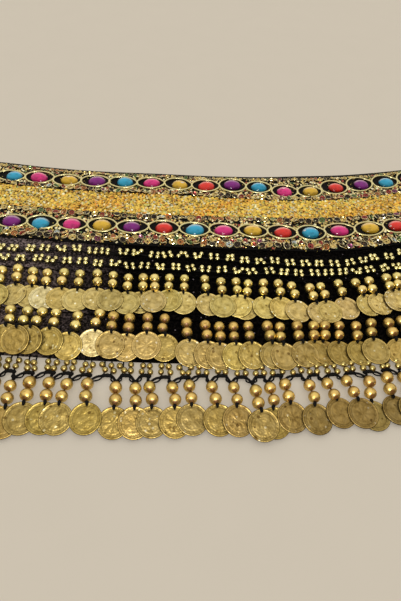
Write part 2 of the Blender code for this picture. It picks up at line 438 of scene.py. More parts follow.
def velvet(name, base, sheen_colour, painted_glint):
    """Black pile cloth: matt, with a painted sheen left of the middle and a few painted glints."""
    m = Nodes(name)
    m.set(Roughness=0.9, Specular_IOR_Level=0.02)
    pile = m.noise(620, 3, 0.7)
    blotch = m.levels(m.noise(60, 3, 0.6), (0.3, 0.5), (0.7, 1.0))
    speck = m.times(blotch, m.levels(pile, (0.46, 0.06), (0.64, 1.0)))
    side = m.parts(m.where())["X"]
    reach = m.add("ShaderNodeMapRange", {"Value": side, "From Min": PAINTED_SHEEN_SPAN[0], "From Max": PAINTED_SHEEN_SPAN[1]})
    # Painted sheen: how far the cloth is painted toward the paler colour here.
    lean = m.levels(reach.outputs["Result"], (0, 0), (PAINTED_SHEEN_PEAK, 1), (1, 0))
    cloth = m.times(m.mix(lean, base, sheen_colour), speck)
    # Painted glints: a few small patches of the cloth are painted pale.
    small = m.patches(m.cells(650), painted_glint, 0.38)
    m.link(m.mix(small, cloth, (0.22, 0.19, 0.22)), "Base Color")
    return m.bump(pile, 0.6, 0.0006).material


def glitter_ground(name, flecks, share):
    """Black mesh thick with metallic flecks."""
    m = Nodes(name)
    m.set(Specular_IOR_Level=0.15)
    spots = m.cells(760)
    fleck = m.patches(spots, share, 0.45)
    hue = m.mix(0.35, flecks, spots.outputs["Color"], "MULTIPLY")
    m.link(m.mix(fleck, (0.006, 0.005, 0.005), hue), "Base Color")
    m.link(fleck, "Metallic")
    m.link(m.math("SUBTRACT", 0.85, m.math("MULTIPLY", fleck, 0.5)), "Roughness")
    return m.bump(spots.outputs["Distance"], 0.8, 0.0008).material


def thread(name, colour):
    """Matt twisted thread."""
    m = Nodes(name)
    m.set(Roughness=0.85, Specular_IOR_Level=0.12)
    fibre = m.noise(1600, 3, 0.7)
    m.link(m.ramp(fibre, (0.3, scaled(colour, 0.5)), (0.75, scaled(colour, 1.6))), "Base Color")
    return m.bump(fibre, 0.7, 0.0004).material


def gold_cord(name, dull, bright):
    """Metallic yarn round a core, satin gold with fine windings."""
    m = Nodes(name)
    m.set(Metallic=0.85)
    fibre = m.noise(1500, 3, 0.6)
    dirt = m.noise(150, 2, 0.5)
    wound = m.ramp(fibre, (0.3, dull), (0.7, bright))
    m.link(m.mix(m.math("MULTIPLY", dirt, 0.4), wound, scaled(dull, 0.6)), "Base Color")
    m.link(m.levels(fibre, (0.3, 0.30), (0.8, 0.16)), "Roughness")
    return m.bump(fibre, 0.12, 0.0005).material


def jewel(name, colour):
    """Foil-backed cut acrylic: painted shade on its sides, a painted reflection on its far edge, painted
    glints.
    """
    m = Nodes(name)
    m.set(Roughness=0.25, Specular_IOR_Level=0.1, Coat_Weight=0.55, Coat_Roughness=0.12)
    # The body is painted darker and paler in patches and facets: painted shading of the cut.
    depth = m.noise(260, 2, 0.5)
    facets = m.cells(400, 1.8)
    waves = m.math("MULTIPLY", depth, 0.7)
    shade = m.math("ADD", waves, m.math("MULTIPLY", facets.outputs["Distance"], 0.45))
    # Painted glints: a few facets are painted nearly white.
    painted_glint = m.patches(facets, 0.06, 0.32)
    facing = m.parts(m.normal())
    # Painted shade: darker where the stone faces sideways.
    rim = m.levels(facing["Z"], (0.25, 0.35), (0.85, 1.0))
    inside = m.ramp(shade, (0.15, scaled(colour, 0.55)), (0.6, scaled(colour, 1.35)))
    deep = m.times(inside, rim)
    # Painted reflection: paler along the stone's far edge.
    far_edge_reflection = m.levels(facing["Y"], (0.08, 0.0), (0.3, 0.34))
    lit = m.mix(far_edge_reflection, deep, (1.0, 0.90, 0.84))
    m.link(m.mix(m.math("MULTIPLY", painted_glint, 0.75), lit, (1.0, 0.95, 0.92)), "Base Color")
    return m.material


def sequin(name, rough):
    """Metallised plastic sequins, each with its own tint."""
    m = Nodes(name)
    m.set(Metallic=0.92, Coat_Weight=0.3, Coat_Roughness=0.1)
    drift = m.levels(m.noise(220, 2, 0.5), (0.3, 0.8), (0.7, 1.0))
    m.link(m.times(drift, m.tint()), "Base Color")
    m.link(m.levels(m.noise(900, 2), (0.3, rough * 0.6), (0.8, rough * 1.5)), "Roughness")
    return m.material


# The side of a bead where a dark reflection is painted: low in front.
PAINTED_REFLECTION_FACES = (0.0, -0.81, 0.59)


def bead_gold(name, base, dark, shade, dull, rough):
    """Round metallised beads with painted shade and a painted dark reflection in front: shade is how brown,
    dull how matt.
    """
    m = Nodes(name)
    wear = m.noise(420, 3, 0.6)
    colour = m.ramp(wear, (0.28, dark), (0.45, base), (0.9, scaled(base, 1.1)))
    facing = m.add("ShaderNodeVectorMath", {0: m.normal(), 1: PAINTED_REFLECTION_FACES}, operation="DOT_PRODUCT")
    uneven = m.math("MULTIPLY", m.math("SUBTRACT", wear, 0.5), 0.12)
    near = m.math("ADD", facing.outputs["Value"], uneven)
    dark_reflection = tuple(1 - (1 - part) * shade for part in (0.42, 0.24, 0.12))
    # Painted shade on the side turned from the front, and a painted dark reflection in the patch in front,
    # where the beads are also less metallic.
    band = m.ramp(near, (0.02, grey(0.62)), (0.40, grey(1.0)), (0.87, grey(1.0)), (0.94, dark_reflection))
    m.link(m.levels(near, (0.87, 1), (0.94, 1 - dull)), "Metallic")
    m.link(m.times(m.times(colour, band), m.tint()), "Base Color")
    m.link(m.levels(wear, (0.3, rough * 1.4), (0.6, rough)), "Roughness")
    return m.bump(m.noise(700, 2), 0.1, 0.0004).material


def coin_gold(name):
    """Stamped thin coins: antique gold times each point's tint, with dark pits and bright scuffs that are
    partly painted glints.
    """
    m = Nodes(name)
    m.set(Metallic=1.0)
    # The gold is darker and paler in soft patches.
    soft_patches = m.noise(260, 4, 0.65)
    colour = m.ramp(soft_patches, (0.3, (0.40, 0.29, 0.085)), (0.5, (0.72, 0.56, 0.20)), (0.8, (0.88, 0.72, 0.32)))
    scuff_and_glint_cells, pits = m.cells(520), m.cells(430)
    # Bright patches that stand for scuffs and for painted glints.
    scuff_and_glint = m.patches(scuff_and_glint_cells, 0.07, 0.36)
    pit = m.patches(pits, 0.06, 0.40)
    colour = m.mix(m.math("MULTIPLY", pit, 0.75), m.mix(scuff_and_glint, colour, (1.0, 0.93, 0.62)), (0.20, 0.12, 0.03))
    m.link(m.times(colour, m.tint()), "Base Color")
    m.link(m.levels(soft_patches, (0.3, 0.54), (0.75, 0.36)), "Roughness")
    struck = m.cells(800).outputs["Distance"]
    relief = m.math("ADD", m.noise(1000, 3, 0.6), m.math("MULTIPLY", struck, 0.8))
    return m.bump(relief, 0.5, 0.0003).material


def floor_material():
    """A pale matt surface that glows a little."""
    m = Nodes("pale_surface")
    m.set(Roughness=0.95, Specular_IOR_Level=0.1)
    pale = m.ramp(m.noise(30, 3), (0.3, scaled(FLOOR_COLOUR, 0.99)), (0.7, scaled(FLOOR_COLOUR, 1.01)))
    m.link(pale, "Base Color")
    m.set(Emission_Color=(*FLOOR_GLOW, 1), Emission_Strength=1.0)
    return m.material


# The surface is lit from below too, like a product table, so that its shadows stay faint.
FLOOR_COLOUR = (0.450, 0.425, 0.375)
FLOOR_GLOW = (0.270, 0.238, 0.192)
# The paler colour is the painted sheen; the last value is the share of painted glints.
BLACK_CLOTH = velvet("black_velvet", (0.012, 0.010, 0.009), (0.90, 0.71, 0.73), 0.014)
TRIM_BLACK = glitter_ground("trim_ground_black", (0.62, 0.38, 0.12), 0.05)
STRIPE_GROUND = glitter_ground("stripe_ground_gold", (0.92, 0.62, 0.14), 1.0)
BLACK_THREAD = thread("black_thread", (0.006, 0.0055, 0.0055))
GOLD_CORD = gold_cord("gold_cord", (0.66, 0.58, 0.24), (1.00, 0.93, 0.54))
JEWELS = {
    "T": jewel("jewel_turquoise", (0.022, 0.370, 0.620)),
    "P": jewel("jewel_pink", (0.720, 0.024, 0.230)),
    "Y": jewel("jewel_yellow", (0.780, 0.470, 0.035)),
    "R": jewel("jewel_red", (0.920, 0.028, 0.016)),
    "V": jewel("jewel_purple", (0.220, 0.008, 0.230)),
}
GOLD_SEQUIN = sequin("gold_sequins", 0.40)
CUP_SEQUIN = sequin("cup_sequins", 0.22)
SEED_GOLD = bead_gold("small_bead_gold", (0.95, 0.86, 0.42), (0.60, 0.46, 0.14), 0.2, 0.0, 0.24)
NET_GOLD = bead_gold("net_bead_gold", (0.50, 0.40, 0.14), (0.26, 0.18, 0.05), 0.8, 0.2, 0.30)
BEAD_PALE = bead_gold("bead_pale_gold", (0.90, 0.75, 0.29), (0.52, 0.39, 0.11), 0.6, 0.2, 0.27)
BEAD_AMBER = bead_gold("bead_amber_gold", (0.74, 0.53, 0.17), (0.40, 0.26, 0.07), 0.95, 0.8, 0.35)
COIN_GOLD = coin_gold("coin_antique_gold")

# ---------------------------------------------------------------- surroundings
# The camera stands over the hem, tipped down at it and rolled a little.
FRAME_HEIGHT_PX = 601
FOCAL_PX = 416
CAMERA_HEIGHT = 225.8 * MM
CAMERA_BACK = 306.6 * MM
CAMERA_DIP = math.radians(52.76)
CAMERA_YAW = math.radians(-5.69)
CAMERA_ROLL = math.radians(5.22)
SENSOR = 36

# A plain soft studio: bright above and behind, dark low in front, by height plus half the distance back.
SKY = (
    (0.00, (0.05, 0.045, 0.04)),
    (0.22, (0.10, 0.09, 0.08)),
    (0.42, (0.60, 0.55, 0.48)),
    (0.70, (0.90, 0.84, 0.75)),
    (1.00, (1.00, 0.95, 0.87)),
)
SKY_STRENGTH = 1.0
SKY_LEAN = 0.5

# The floor's width, and how far it lies below the scarf.
FLOOR_SIZE = 12
FLOOR_DROP = 0.3 * MM


def add_camera():
    data = bpy.data.cameras.new("camera")
    data.sensor_width = SENSOR
    data.lens = SENSOR * FOCAL_PX / FRAME_HEIGHT_PX
    data.clip_start = 0.01
    camera = bpy.data.objects.new("camera", data)
    aim = Matrix.Rotation(CAMERA_YAW, 4, "Z") @ Matrix.Rotation(math.pi / 2 - CAMERA_DIP, 4, "X")
    aim = aim @ Matrix.Rotation(CAMERA_ROLL, 4, "Z")
    camera.matrix_world = Matrix.Translation(CAMERA_AT) @ aim
    bpy.context.scene.collection.objects.link(camera)
    bpy.context.scene.camera = camera


def add_area(name, position, target, size, power, colour):
    data = bpy.data.lights.new(name, "AREA")
    data.shape = "RECTANGLE"
    data.size, data.size_y = size
    data.energy = power
    data.color = colour
    lamp = bpy.data.objects.new(name, data)
    lamp.location = position
    lamp.rotation_euler = (Vector(target) - Vector(position)).to_track_quat("-Z", "Y").to_euler()
    lamp.visible_camera = False
    lamp.visible_diffuse = False
    bpy.context.scene.collection.objects.link(lamp)


def add_floor():
    bpy.ops.mesh.primitive_plane_add(size=FLOOR_SIZE, location=(0, 0, -FLOOR_DROP))
    floor = bpy.context.object
    floor.name = "floor"
    floor.data.materials.append(floor_material())


def add_sky():
    world = bpy.data.worlds.new("studio")
    bpy.context.scene.world = world
    world.use_nodes = True
    tree = world.node_tree
    sky = tree.nodes["Background"]
    where = add_node(tree, "ShaderNodeTexCoord").outputs["Generated"]
    split = add_node(tree, "ShaderNodeSeparateXYZ", {"Vector": where}).outputs
    lean = {0: split["Y"], 1: SKY_LEAN, 2: split["Z"]}
    back = add_node(tree, "ShaderNodeMath", lean, operation="MULTIPLY_ADD").outputs[0]
    ramp = add_node(tree, "ShaderNodeValToRGB", {"Fac": back})
    set_stops(ramp.color_ramp, SKY)
    tree.links.new(ramp.outputs["Color"], sky.inputs["Color"])
    sky.inputs["Strength"].default_value = SKY_STRENGTH


TOP_EDGE_Y = CENTRE_Y - TOP_RADIUS
CAMERA_AT = Vector((0, TOP_EDGE_Y - CAMERA_BACK, CAMERA_HEIGHT))
# A small soft lamp just behind and below the camera, for the bright points on beads, stones and cord.
LAMP_AT = CAMERA_AT + Vector((0, -35 * MM, -45 * MM))
LAMP_AIM = (0.02, TOP_EDGE_Y - 100 * MM, 0)
LAMP_SIZE = (80 * MM, 60 * MM)
LAMP_POWER = 0.6
LAMP_COLOUR = (1.0, 0.98, 0.95)

add_camera()
add_floor()
add_sky()
add_area("lamp", LAMP_AT, LAMP_AIM, LAMP_SIZE, LAMP_POWER, LAMP_COLOUR)
bpy.context.scene.view_settings.view_transform = "Standard"


# ---------------------------------------------------------------- cloth pieces
def arc_shell(name, depths, height, thickness, steps, material, replaced, slot):
    """A cloth strip that follows the band, with softly rolled edges and the cloth's creases."""
    roll, edge_width = 0.4 * MM, 2 * MM
    angles = np.linspace(-BAND_HALF_ANGLE, BAND_HALF_ANGLE, steps[0] + 1)
    grid_a, part = np.meshgrid(angles, np.linspace(0, 1, steps[1] + 1), indexing="ij")
    reach = depths[1] - depths[0]
    edge = np.minimum(np.minimum(part, 1 - part) * reach, edge_width) / edge_width
    depth = depths[0] + reach * part
    top = place(grid_a, depth, height + thickness - roll * (1 - edge) ** 2)
    low = place(grid_a, depth, height + CLEAR)
    return new_piece(name, shell(top, low), [material], replaced, slot)


def cloth_pieces():
    whole = (0, BAND_DEPTH)
    steps = (220, 40)
    band = arc_shell("cloth_band_velvet", whole, 0, CLOTH, steps, BLACK_CLOTH, "cloth_band", "black_cloth")
    grounds = (
        ("trim_upper_ground", UPPER_TRIM, TRIM_BLACK, "jewel_trim_upper", "jewelled_trim"),
        ("trim_lower_ground", LOWER_TRIM, TRIM_BLACK, "jewel_trim_lower", "jewelled_trim"),
        ("stripe_ground", SEQUIN_STRIPE, STRIPE_GROUND, "sequin_stripe", "gold_sequins"),
    )
    for name, depths, material, node, slot in grounds:
        ground = arc_shell(name, depths, ON_CLOTH, TRIM, (220, 10), material, node, slot)
    for row, roots in (("upper", UPPER_ROOTS), ("lower", LOWER_ROOTS)):
        tape = (roots - STRIP_WIDTH, roots)
        arc_shell(f"strip_{row}", tape, ON_CLOTH, TRIM, (220, 3), BLACK_CLOTH, f"coin_row_{row}", "coin_gold")


cloth_pieces()

# ---------------------------------------------------------------- jewels in gold almonds
# order: the stones' colours from the left, turquoise, pink, yellow, red and violet. frames: how many and
# how long. sags: where a frame sits low. slims: where it is narrow, as what half its width lacks. shifts:
# where its stone sits to the right of its middle. All in mm.
JewelRow = namedtuple("JewelRow", "tag node depth half_width order frames sags slims shifts seed")
UPPER_JEWELS = JewelRow(
    "upper", "jewel_trim_upper", 15.3 * MM, 7.4 * MM, "RVTPYRVT" + "TPYVTPYRVTPYRVTR" + "VTPYR",
    frames=((8, 22.6), (9, 23.1), (3, 21.3), (3, 24.8), (6, 22.1)),
    sags=((-125, 60, 2.4), (-142, 9, 1.6), (57, 20, -3.0), (100, 30, 4.2), (180, 60, -1.3)),
    slims=((-142, 12, 1.2), (110, 45, 1.0)),
    shifts=((-100, 55, 2.6), (-137, 6, 1.7), (-117, 8, -6.0), (127, 8, 1.6), (149, 10, 4.4), (170, 9, 2.0)),
    seed=11,
)
LOWER_JEWELS = JewelRow(
    "lower", "jewel_trim_lower", 70.0 * MM, 7.0 * MM, "TPYRTPYRT" + "VTPYVRTPYRTPYR" + "VTPYRVT",
    frames=((9, 23.3), (4, 22.5), (2, 24.0), (5, 22.7), (2, 24.5), (8, 22.5)),
    sags=((-140, 22, 3.0), (-105, 12, 1.2), (40, 150, -1.5), (88, 14, 1.8), (124, 8, -1.2)),
    slims=(),
    shifts=((-130, 8, -2.6), (-60, 8, -2.0), (124, 8, -2.6), (148, 8, 1.0)),
    seed=12,
)
# The gold cord's radius.
CORD = 0.78 * MM
# A stone's length, width and height in mm, each from and to, and how far below its frame's middle it sits.
STONE_SIZES = ((13.2, 14.8), (11.0, 12.6), (3.6, 4.2))
STONE_LOW = 0.8 * MM


def cut_jewel(sides=12):
    """An oval cut stone 1 long, 1 wide and 1 high: a girdle, two rings of facets and a table."""
    rings = ((0.5, 0.0, 0), (0.5, 0.22, 0), (0.40, 0.62, 0.5), (0.22, 0.93, 0))
    points = np.concatenate([circle(sides, *ring) for ring in rings] + [[(0, 0, 1.0)]])
    faces = []
    for ring in range(len(rings) - 1):
        a, b = ring * sides, (ring + 1) * sides
        turned_on = rings[ring + 1][2] - rings[ring][2]
        for side in range(sides):
            after = (side + 1) % sides
            if turned_on > 0:
                faces += [(a + side, a + after, b + side), (a + after, b + after, b + side)]
            elif turned_on < 0:
                faces += [(a + side, b + after, b + side), (a + side, a + after, b + after)]
            else:
                faces.append((a + side, a + after, b + after, b + side))
    last = (len(rings) - 1) * sides
    faces += [(last + side, last + (side + 1) % sides, len(points) - 1) for side in range(sides)]
    faces.append(tuple(reversed(range(sides))))
    return points, faces


def frame_places(row):
    """Middles and half lengths of a row's almonds as angles, and their depths."""
    chance = np.random.default_rng(row.seed)
    ends = np.concatenate([[0], np.cumsum(runs(row.frames))])
    ends = BAND_HALF_ANGLE * (2 * ends / ends[-1] - 1)
    angles = (ends[1:] + ends[:-1]) / 2
    uneven = chance.normal(0, 0.35 * MM, len(angles))
    return angles, np.diff(ends) / 2, row.depth + bumps(angles * TOP_RADIUS, row.sags) * MM + uneven


def almonds(row):
    """The almond frames of gold cord along a trim, each cord's end crossing over its start."""
    chance = np.random.default_rng(row.seed)
    turn = np.linspace(0, 2 * math.pi, 44, endpoint=False)
    loops = []
    for angle, half, depth in zip(*frame_places(row)):
        radius = TOP_RADIUS + depth
        half_width = row.half_width - bumps(angle * TOP_RADIUS, row.slims) * MM
        x = (half * radius + chance.uniform(-0.2, 0.5) * MM) * np.cos(turn)
        y = half_width * chance.uniform(0.92, 1.08) * np.sin(turn) * np.abs(np.sin(turn)) ** 0.15
        tilt = math.radians(chance.uniform(-4, 4))
        along_it = x * math.cos(tilt) - y * math.sin(tilt)
        down_it = x * math.sin(tilt) + y * math.cos(tilt)
        rise = ON_TRIM + CORD * (0.75 + 0.35 * np.cos(turn) * np.sign(np.sin(turn + 0.4)))
        path = place(angle + along_it / radius, depth + down_it, rise)
        loops.append(tube(path, CORD, 8, closed=True, ridge=0.05, twists=22))
    new_piece(f"gold_almonds_{row.tag}", join(loops), [GOLD_CORD], row.node, "jewelled_trim")


def stones(row):
    """The cut stone in each almond."""
    chance = np.random.default_rng(row.seed + 50)
    angles, _, depth = frame_places(row)
    count = len(angles)
    shift = (bumps(angles * TOP_RADIUS, row.shifts) + chance.normal(0, 0.7, count)) * MM
    at = angles + shift / (TOP_RADIUS + depth)
    origins = place(at, depth + STONE_LOW + chance.normal(0, 0.5 * MM, count), ON_TRIM - 0.1 * MM)
    axes = turned(-down(at), tipped(chance, count, 0.04), np.radians(chance.uniform(-8, 8, count)))
    size = np.stack([chance.uniform(*reach, count) for reach in STONE_SIZES], -1) * MM
    template = cut_jewel()
    kinds = sorted(JEWELS)
    picks = np.repeat([kinds.index(letter) for letter in row.order], len(template[1]))
    shape = stamp(template, origins, axes * size[:, :, None])
    materials = [JEWELS[kind] for kind in kinds]
    new_piece(f"jewels_{row.tag}", shape, materials, row.node, "jewelled_trim", picks=picks)


for jewel_row in (UPPER_JEWELS, LOWER_JEWELS):
    almonds(jewel_row)
    stones(jewel_row)

# ---------------------------------------------------------------- sequins
# Shares of the sequins' colours.
STRIPE_HUES = (
    (0.70, (1.00, 0.71, 0.12)),
    (0.11, (0.90, 0.46, 0.08)),
    # The palest share is partly paler sequins and partly painted sparkle.
    (0.14, (1.00, 0.95, 0.62)),
    (0.05, (0.74, 0.80, 0.26)),
)
GLITTER_HUES = (
    (0.40, (0.80, 0.62, 0.22)),
    (0.22, (1.00, 0.92, 0.58)),
    (0.15, (0.26, 0.14, 0.05)),
    (0.10, (0.40, 0.08, 0.05)),
    (0.06, (0.16, 0.26, 0.10)),
)
CUP_HUES = (
    (0.34, (0.035, 0.022, 0.014)),
    (0.20, (0.72, 0.54, 0.18)),
    (0.14, (0.50, 0.20, 0.06)),
    (0.12, (0.34, 0.050, 0.040)),
    (0.11, (0.14, 0.24, 0.08)),
    (0.04, (0.56, 0.64, 0.66)),
    (0.04, (0.25, 0.06, 0.14)),
)
CUP_RIM = (1.00, 0.88, 0.50)
# A cup's section: radius and height of each ring, in diameters, from the hole out over the rim and back.
CUP_PROFILE = ((0.10, 0.02), (0.32, 0.03), (0.41, 0.14), (0.46, 0.17), (0.50, 0.12), (0.44, 0.0))
# Diameters of the flat sequins in mm, from and to.
GLITTER_SIZES = (1.7, 2.6)
STRIPE_SIZES = (1.8, 2.7)
# How far glitter stays from an almond's middle, squared, where 1 is on its cord.
FRAME_CLEAR = 1.05

# Rows of cup sequins: depth, size and pitch in mm, and the share of plain gold ones.
CupRow = namedtuple("CupRow", "depth size pitch plain")
UPPER_CUPS = (CupRow(6.2, 3.6, 3.9, 0.4), CupRow(27.0, 5.2, 5.6, 0.1))
LOWER_CUPS = (CupRow(57.2, 5.4, 5.8, 0.1), CupRow(80.2, 4.6, 5.2, 0.15), CupRow(83.8, 5.8, 6.1, 0.1))


def drawn(chance, hues, count):
    """A colour for each of so many sequins, by the colours' shares."""
    shares = np.array([share for share, _ in hues])
    return np.array([hue for _, hue in hues])[chance.choice(len(hues), count, p=shares / shares.sum())]


def cup(sides=12):
    """A cupped sequin of diameter 1: a broad rim round a hollow with a hole in its floor."""
    points = np.concatenate([circle(sides, *ring) for ring in CUP_PROFILE])
    return points, band_faces(len(CUP_PROFILE), sides, closed=True)


def cup_tints(colours, points_in_cup):
    """Each cup's own colour in its hollow and gold on its rim."""
    tint = np.repeat(colours[:, None], points_in_cup, axis=1)
    tint = tint.reshape(len(colours), len(CUP_PROFILE), -1, 3)
    tint[:, 0] *= 0.4
    tint[:, 3:5] = CUP_RIM
    return tint.reshape(-1, 3)


def cup_rows(row, cups):
    chance = np.random.default_rng(row.seed + 10)
    template = cup()
    origins, axes, tints = [], [], []
    for cup_row in cups:
        depth = cup_row.depth * MM
        count = int(2 * BAND_HALF_ANGLE * (TOP_RADIUS + depth) / (cup_row.pitch * MM))
        angles = even_angles(count) + chance.normal(0, 0.3 * MM, count) / (TOP_RADIUS + depth)
        height = ON_TRIM + chance.uniform(0.4, 0.9, count) * MM
        origins.append(place(angles, depth + chance.normal(0, 0.3 * MM, count), height))
        size = cup_row.size * MM * chance.uniform(0.9, 1.06, count)
        axes.append(turned(-down(angles), tipped(chance, count, 0.24)) * size[:, None, None])
        colours = drawn(chance, CUP_HUES, count)
        plain = chance.random(count) < cup_row.plain
        colours[plain] = CUP_HUES[1][1]
        tints.append(cup_tints(colours, len(template[0])))
    shape = stamp(template, np.concatenate(origins), np.concatenate(axes))
    look = {"smooth": False, "tints": np.concatenate(tints)}
    new_piece(f"cup_sequins_{row.tag}", shape, [CUP_SEQUIN], row.node, "jewelled_trim", **look)


def outside_frames(row, at, depth):
    """Where places on a trim lie clear of its almonds."""
    angles, halves, depths = frame_places(row)
    nearest = np.abs(at[:, None] - angles).argmin(1)
    x = (at - angles[nearest]) / halves[nearest]
    y = (depth - depths[nearest]) / row.half_width
    return x**2 + y**2 > FRAME_CLEAR


def glitter(row, trim, count):
    """Small flat sequins scattered on a trim's ground, clear of its almonds."""
    chance = np.random.default_rng(row.seed + 20)
    margin = 1.2 * MM
    at = chance.uniform(-BAND_HALF_ANGLE, BAND_HALF_ANGLE, count)
    depth = chance.uniform(trim[0] + margin, trim[1] - margin, count)
    clear = outside_frames(row, at, depth)
    at, depth = at[clear], depth[clear]
    number = len(at)
    template = flake()
    size = chance.uniform(*GLITTER_SIZES, (number, 1, 1)) * MM
    axes = turned(-down(at), tipped(chance, number, 0.3), chance.uniform(*ANY_TURN, number)) * size
    shape = stamp(template, place(at, depth, ON_TRIM + chance.uniform(0.1, 0.6, number) * MM), axes)
    tint = spread(drawn(chance, GLITTER_HUES, number), template)
    new_piece(f"glitter_{row.tag}", shape, [CUP_SEQUIN], row.node, "jewelled_trim", smooth=False, tints=tint)


# Each row of the stripe starts at another part of the pitch, so that no gap runs through all the rows.
ROW_SHIFT = 0.382


def sequin_stripe(rows=18, pitch=1.4 * MM):
    """The centre stripe: small flat sequins sewn so densely that they lie over one another."""
    chance = np.random.default_rng(31)
    template = flake()
    origins, axes, tints = [], [], []
    for row in range(rows):
        depth = SEQUIN_STRIPE[0] + (row + 0.5) / rows * (SEQUIN_STRIPE[1] - SEQUIN_STRIPE[0])
        count = int(2 * BAND_HALF_ANGLE * (TOP_RADIUS + depth) / pitch)
        shift = (ROW_SHIFT * row) % 1 * pitch / TOP_RADIUS
        angles = even_angles(count) + shift + chance.normal(0, 0.4 * MM, count) / TOP_RADIUS
        angles = np.clip(angles, -BAND_HALF_ANGLE, BAND_HALF_ANGLE)
        height = ON_TRIM + chance.uniform(0.2, 0.9, count) * MM
        origins.append(place(angles, depth + chance.normal(0, 0.3 * MM, count), height))
        size = chance.uniform(*STRIPE_SIZES, (count, 1, 1)) * MM
        tips = tipped(chance, count, 0.22)
        axes.append(turned(-down(angles), tips, chance.uniform(*ANY_TURN, count)) * size)
        patch = (0.5 + 0.5 * np.sin(angles * 61 + 1.3 * np.sin(angles * 23) + depth * 130)) ** 3
        warm = np.stack([np.ones(count), 1 - 0.16 * patch, 1 - 0.4 * patch], -1)
        tints.append(drawn(chance, STRIPE_HUES, count) * warm * chance.uniform(0.62, 1.18, (count, 1)))
    shape = stamp(template, np.concatenate(origins), np.concatenate(axes))
    look = {"smooth": False, "tints": spread(np.concatenate(tints), template)}
    new_piece("stripe_sequins", shape, [GOLD_SEQUIN], "sequin_stripe", "gold_sequins", **look)


cup_rows(UPPER_JEWELS, UPPER_CUPS)
cup_rows(LOWER_JEWELS, LOWER_CUPS)
glitter(UPPER_JEWELS, (3.8 * MM, UPPER_TRIM[1]), count=5400)
glitter(LOWER_JEWELS, LOWER_TRIM, count=5600)
sequin_stripe()

# ---------------------------------------------------------------- coins
COIN = 18 * MM
COIN_SIDES = 42
COIN_RADII = (0.03, 0.09, 0.15, 0.20, 0.25, 0.30, 0.345, 0.375, 0.395, 0.425, 0.447, 0.462, 0.485, 0.5, 0.5)
# In coin diameters: the rim is between two radii, with a groove further in.
COIN_THICKNESS = 0.028
RIM_HEIGHT = 0.013
RIM = (0.455, 0.49)
GROOVE = 0.375


def relief(design, radius, turn):
    """Height of a generic stamped design: petals, a star or bars, inside a ring of dots."""
    dots = 0.014 * np.cos(COIN_SIDES / 2 * turn) * np.exp(-(((radius - 0.42) / 0.014) ** 2))
    ring = 0.008 * np.exp(-(((radius - 0.345) / 0.014) ** 2))
    field = np.exp(-(((radius - 0.2) / 0.1) ** 2))
    petals = (
        0.5 + 0.5 * np.cos(8 * turn),
        np.maximum(0, np.cos(3 * turn)) ** 0.5,
        0.5 + 0.5 * np.cos(4 * turn + 14 * radius),
    )[design]
    groove = -0.005 * np.exp(-(((radius - GROOVE) / 0.01) ** 2))
    return dots + ring + groove + 0.015 * field * petals + 0.006 * np.exp(-((radius / 0.06) ** 2))


def coin_template(design):
    """A coin of diameter 1: (points, faces), and a shade for each point."""
    radius = np.repeat(COIN_RADII, COIN_SIDES)
    turn = np.tile(2 * math.pi * np.arange(COIN_SIDES) / COIN_SIDES, len(COIN_RADII))
    rim = np.where((radius > RIM[0]) & (radius < RIM[1]), RIM_HEIGHT, 0)
    height = COIN_THICKNESS / 2 + rim + np.where(radius < RIM[0], relief(design, radius, turn), 0)
    height[-COIN_SIDES:] = -COIN_THICKNESS / 2
    points = np.stack([radius * np.cos(turn), radius * np.sin(turn), height], -1)
    faces = band_faces(len(COIN_RADII), COIN_SIDES)
    faces.append(tuple(range(COIN_SIDES)))
    faces.append(tuple(range(len(points) - 1, len(points) - 1 - COIN_SIDES, -1)))
    worn = np.clip((height - COIN_THICKNESS / 2) / 0.014, -0.5, 1)
    uneven = 0.6 + 0.4 * np.cos(turn * 3 + design)
    shade = 0.80 + 0.28 * worn - 0.22 * uneven * (np.abs(radius - GROOVE) < 0.012)
    # Painted shade: the coin's outer edge and underside are dark, as in the shade between overlapping coins.
    shade[-2 * COIN_SIDES :] = 0.2
    return (points, faces), shade


COINS = [coin_template(design) for design in range(3)]

# ---------------------------------------------------------------- strands
BEAD_BALL = globe(18, 12)
# The share of its beads' lean that a coin keeps.
COIN_LEAN = 0.35

# Where a row's strands are sewn: how many there are, the first one that shows, its place along the band in
# mm, and the gaps from there on, as how many and how wide in mm. The rest of a row is nearly even.
Sewn = namedtuple("Sewn", "count first start gaps")
# depth: of the strands' roots. base: height of what they lie on. first and coin_drop: how far below the root
# the first bead and the coin's middle are. tilt: degrees that a coin stands up. bead and step: the beads'
# size, and from one to the next. beads: their material. pale_end: the place left of which they are pale.
# shade: a tint for the row's coins. Then, by the place along the row in mm: leans, degrees to the right;
# tilts, degrees more of tilt; drops, mm lower; lifts, mm that the coin alone is higher; dim, how much darker
# a coin is. overlaps: 1 where a coin lies on its left neighbour, -1 on its right, in runs. bright: strands
# whose coin is painted silvery, a painted shine.
Row = namedtuple(
    "Row",
    "name node depth base first coin_drop tilt bead step beads pale_end shade "
    "sewn leans tilts drops lifts dim overlaps bright seed",
)
